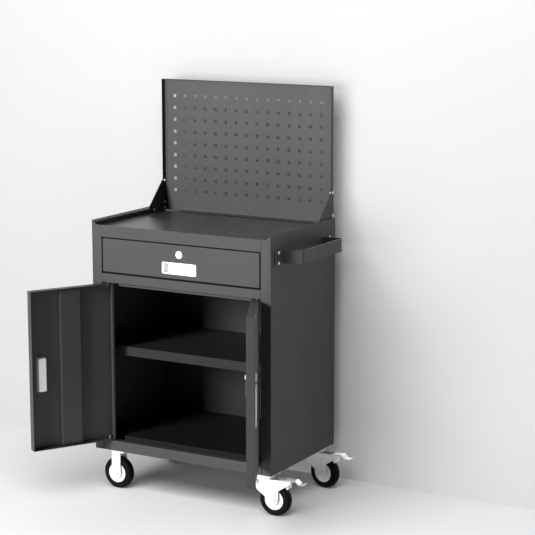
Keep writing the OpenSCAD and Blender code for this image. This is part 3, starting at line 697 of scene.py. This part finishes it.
def screws(node):
    """The node's screws along X, each headed on its wider end. Those from outside have nuts."""
    meshes = []
    places = []
    for points in solids_of(node):
        lo, hi = corners(points)
        middle = (lo + hi) / 2
        low_end = corners([p for p in points if p.x < lo.x + END_SLICE])
        head_low = low_end[1].z - low_end[0].z > HEAD_WIDE
        middle.x = lo.x if head_low else hi.x
        meshes.append(pan_screw((hi.x - lo.x) / MM, nut=head_low == (middle.x < 0)))
        places.append(axis_frame(middle, (1 if head_low else -1, 0, 0)))
    stand_in(node, joined(meshes, places), ZINC)


BOLT_R = 4
BOLT_HEX = 6.05
BOLT_HEAD_H = 3.9
FLANGE_R = 7


def caster_bolt(length):
    """A chamfered hexagon head at depth 0 on a washer face, a shank, and a nut."""
    return skin([
        circle(BOLT_R - 0.4, length), circle(BOLT_R, length - 0.5), circle(BOLT_R, length - 1),
        hexagon(BOLT_HEX, length - 1), hexagon(BOLT_HEX, length - 6), circle(BOLT_R, length - 6),
        circle(BOLT_R, 4.5), circle(FLANGE_R - 0.1, 4.5), circle(FLANGE_R, 4.2),
        circle(FLANGE_R - 0.1, BOLT_HEAD_H), hexagon(BOLT_HEX, BOLT_HEAD_H), hexagon(BOLT_HEX, 0.7),
        circle(5.6, 0), circle(3.4, 0.15)])


def caster_bolts(node):
    meshes = []
    places = []
    for points in solids_of(node):
        lo, hi = corners(points)
        meshes.append(caster_bolt((hi.z - lo.z) / MM))
        places.append(axis_frame(((lo.x + hi.x) / 2, (lo.y + hi.y) / 2, lo.z), (0, 0, 1)))
    stand_in(node, joined(meshes, places), ZINC)


AXLE_R = 5
AXLE_HEX = 6.85
AXLE_HEAD_H = 4


def axle_bolt(length):
    """A bolt head at one end, a nut with the bolt's own end in it at the other."""
    nut = length - AXLE_HEAD_H
    return skin([
        circle(4.4, length), circle(4.9, length - 0.4), circle(4.9, length - 0.9),
        hexagon(6.6, length - 0.9), hexagon(AXLE_HEX, length - 1.3), hexagon(AXLE_HEX, nut),
        circle(AXLE_R, nut), circle(AXLE_R, AXLE_HEAD_H), hexagon(AXLE_HEX, AXLE_HEAD_H),
        hexagon(AXLE_HEX, 0.6), circle(6.3, 0), circle(4.6, 0), circle(4.2, 0.3)])


AXLE_NEAR = 0.05


def axles(node, joints):
    meshes = []
    places = []
    for joint in joints:
        place = axis_frame(JOINTS[joint]["pos_m"], JOINTS[joint]["axis"])
        lo, hi = box_in(node, place, AXLE_NEAR)
        length = (hi.y - lo.y) / MM
        meshes.append(axle_bolt(length))
        places.append(place @ Matrix.Translation((0, -length / 2 * MM, 0)))
    stand_in(node, joined(meshes, places), ZINC)


screws("handle_screws")
screws("gusset_screws")
caster_bolts("caster_bolts")
axles("rigid_axles", ["wheel_left_front_spin", "wheel_left_rear_spin"])
axles("swivel_axle_front", ["wheel_right_front_spin"])
axles("swivel_axle_rear", ["wheel_right_rear_spin"])


# ---- Wheels ----

RIM_R = 30.5
BOSS_R = 10
DISC = 11
DISC_T = 1.5
SPACE_R = 24
DISC_HOLE_R = 2.2
DISC_HOLE_AT = 17
DISC_HOLE_ANGLE = math.radians(17)
DRILL_REACH = 20


def tyre(node, place):
    """A crowned tread with rounded shoulders, and a raised band round each sidewall."""
    lo, hi = box_in(node, place)
    half = (hi.y - lo.y) / 2 / MM
    r = (hi.z - lo.z) / 2 / MM
    mesh = lathe(mirrored([
        (RIM_R, half - 0.5), (RIM_R + 0.5, half - 0.1), (RIM_R + 2, half),
        (RIM_R + 2.6, half - 0.35), (RIM_R + 3.3, half - 0.35), (RIM_R + 3.9, half - 0.05),
        (r - 9, half), (r - 7.6, half - 0.15), (r - 7, half - 0.75), (r - 6.2, half - 0.85),
        (r - 4.4, half - 1.3), (r - 2.7, half - 2.5), (r - 1.4, half - 4.3), (r - 0.55, half - 6.6),
        (r - 0.12, half - 9.4), (r, half - 12)]))
    mesh.transform(place)
    stand_in(node, mesh, RUBBER)


def hub(node, place):
    """Pressed steel discs with a raised ring, a rolled rim, a turned boss and one drilled hole."""
    lo, hi = box_in(node, place)
    boss = (hi.y - lo.y) / 2 / MM
    half = boss - 2
    mesh = lathe(mirrored([
        (AXLE_R + 0.05, boss - 0.4), (AXLE_R + 0.4, boss), (BOSS_R - 0.7, boss),
        (BOSS_R, boss - 0.7), (BOSS_R, DISC + 0.9), (BOSS_R + 0.9, DISC), (18.6, DISC),
        (19.5, DISC + 0.9), (20.1, DISC + 1.1), (21.9, DISC + 1.1), (22.5, DISC + 0.9),
        (23.4, DISC), (25, DISC), (26.2, DISC + 0.7), (27, DISC + 2.2), (27.6, half - 0.1),
        (28.3, half), (29.8, half), (30.3, half - 0.15), (RIM_R, half - 0.5)]))
    inside = DISC - DISC_T
    space = lathe([(BOSS_R, -inside), (SPACE_R, -inside), (SPACE_R, inside), (BOSS_R, inside)])
    drill = skin([circle(DISC_HOLE_R, -DRILL_REACH), circle(DISC_HOLE_R, DRILL_REACH)])
    towards = Vector((math.cos(DISC_HOLE_ANGLE), 0, math.sin(DISC_HOLE_ANGLE)))
    drill.transform(Matrix.Translation(towards * DISC_HOLE_AT * MM))
    mesh = cut_by(cut_by(mesh, space), drill)
    mesh.transform(place)
    stand_in(node, mesh, ZINC)


for wheel in ["left_front", "left_rear", "right_front", "right_rear"]:
    spin = JOINTS["wheel_" + wheel + "_spin"]
    wheel_place = axis_frame(spin["pos_m"], spin["axis"])
    tyre("tyre_" + wheel, wheel_place)
    hub("hub_" + wheel, wheel_place)


# ---- Stage and light ----

WALL_AT = 0.262
STAGE_HALF = 7.0
FLOOR_TONE = 0.50
WALL_TONE = 0.37


def stage_material(name, tone):
    s = Shader(name)
    mottled = s.noise(1.2, 3.0, 0.5)
    s.set(color=s.mix(mottled, grey(tone), grey(tone + 0.03)), rough=0.7, specular=0.15)
    s.bump(s.noise(300, 2.0), 0.0001, 0.2)
    return s


def stage_plane(name, points, shader):
    bm = bmesh.new()
    bm.faces.new([bm.verts.new(p) for p in points])
    mesh = bpy.data.meshes.new(name)
    bm.to_mesh(mesh)
    bm.free()
    mesh.materials.append(shader.mat)
    piece = bpy.data.objects.new(name, mesh)
    stage_group.objects.link(piece)
    return piece


stage_group = bpy.data.collections.new("stage")
object_group = bpy.data.collections.new("object")
bpy.context.scene.collection.children.link(stage_group)
bpy.context.scene.collection.children.link(object_group)
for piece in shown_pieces():
    object_group.objects.link(piece)

h = STAGE_HALF
floor_points = [(-h, -h, 0), (h, -h, 0), (h, h, 0), (-h, h, 0)]
stage_plane("studio_floor", floor_points, stage_material("studio_floor", FLOOR_TONE))

# The wall shows only from the room's side, and lets light through to the back of the object
wall_shader = stage_material("studio_wall", WALL_TONE)
geometry = wall_shader.tree.nodes.new("ShaderNodeNewGeometry")
clear = wall_shader.tree.nodes.new("ShaderNodeBsdfTransparent")
either = wall_shader.tree.nodes.new("ShaderNodeMixShader")
output = next(n for n in wall_shader.tree.nodes if n.type == "OUTPUT_MATERIAL")
wall_shader.tree.links.new(geometry.outputs["Backfacing"], either.inputs["Fac"])
wall_shader.tree.links.new(wall_shader.bsdf.outputs["BSDF"], either.inputs[1])
wall_shader.tree.links.new(clear.outputs["BSDF"], either.inputs[2])
wall_shader.tree.links.new(either.outputs["Shader"], output.inputs["Surface"])
wall_points = [(-h, WALL_AT, 0), (h, WALL_AT, 0), (h, WALL_AT, h), (-h, WALL_AT, h)]
wall = stage_plane("studio_wall", wall_points, wall_shader)
wall.visible_shadow = False


def area_light(name, at, target, size, power, group):
    """A soft light at a place, turned towards a target, that lights one group only."""
    data = bpy.data.lights.new(name, "AREA")
    data.shape = "RECTANGLE"
    data.size, data.size_y = size
    data.energy = power
    light = bpy.data.objects.new(name, data)
    light.location = at
    light.rotation_euler = (Vector(target) - Vector(at)).to_track_quat("-Z", "Y").to_euler()
    bpy.context.scene.collection.objects.link(light)
    light.light_linking.receiver_collection = group


WORLD_STRENGTH = 0.10

# Name, place, target, size in metres, power in watts, and what it lights
area_light("key", (-1.9, -4.9, 2.1), (0.0, 0.0, 0.6), (1.6, 1.4), 450, object_group)
area_light("floor_wash", (0.3, -3.0, 3.8), (0.2, -0.8, 0.0), (5.0, 3.0), 410, stage_group)
area_light("wall_wash", (-0.7, -4.4, 0.95), (0.0, 0.27, 0.7), (3.4, 1.8), 185, stage_group)
area_light("back_fill", (-0.3, 4.4, 2.2), (0.0, 0.2, 0.6), (2.4, 2.0), 210, object_group)
world = bpy.data.worlds.new("studio")
world.use_nodes = True
background = world.node_tree.nodes["Background"]
background.inputs["Color"].default_value = grey(1.0)
background.inputs["Strength"].default_value = WORLD_STRENGTH
bpy.context.scene.world = world
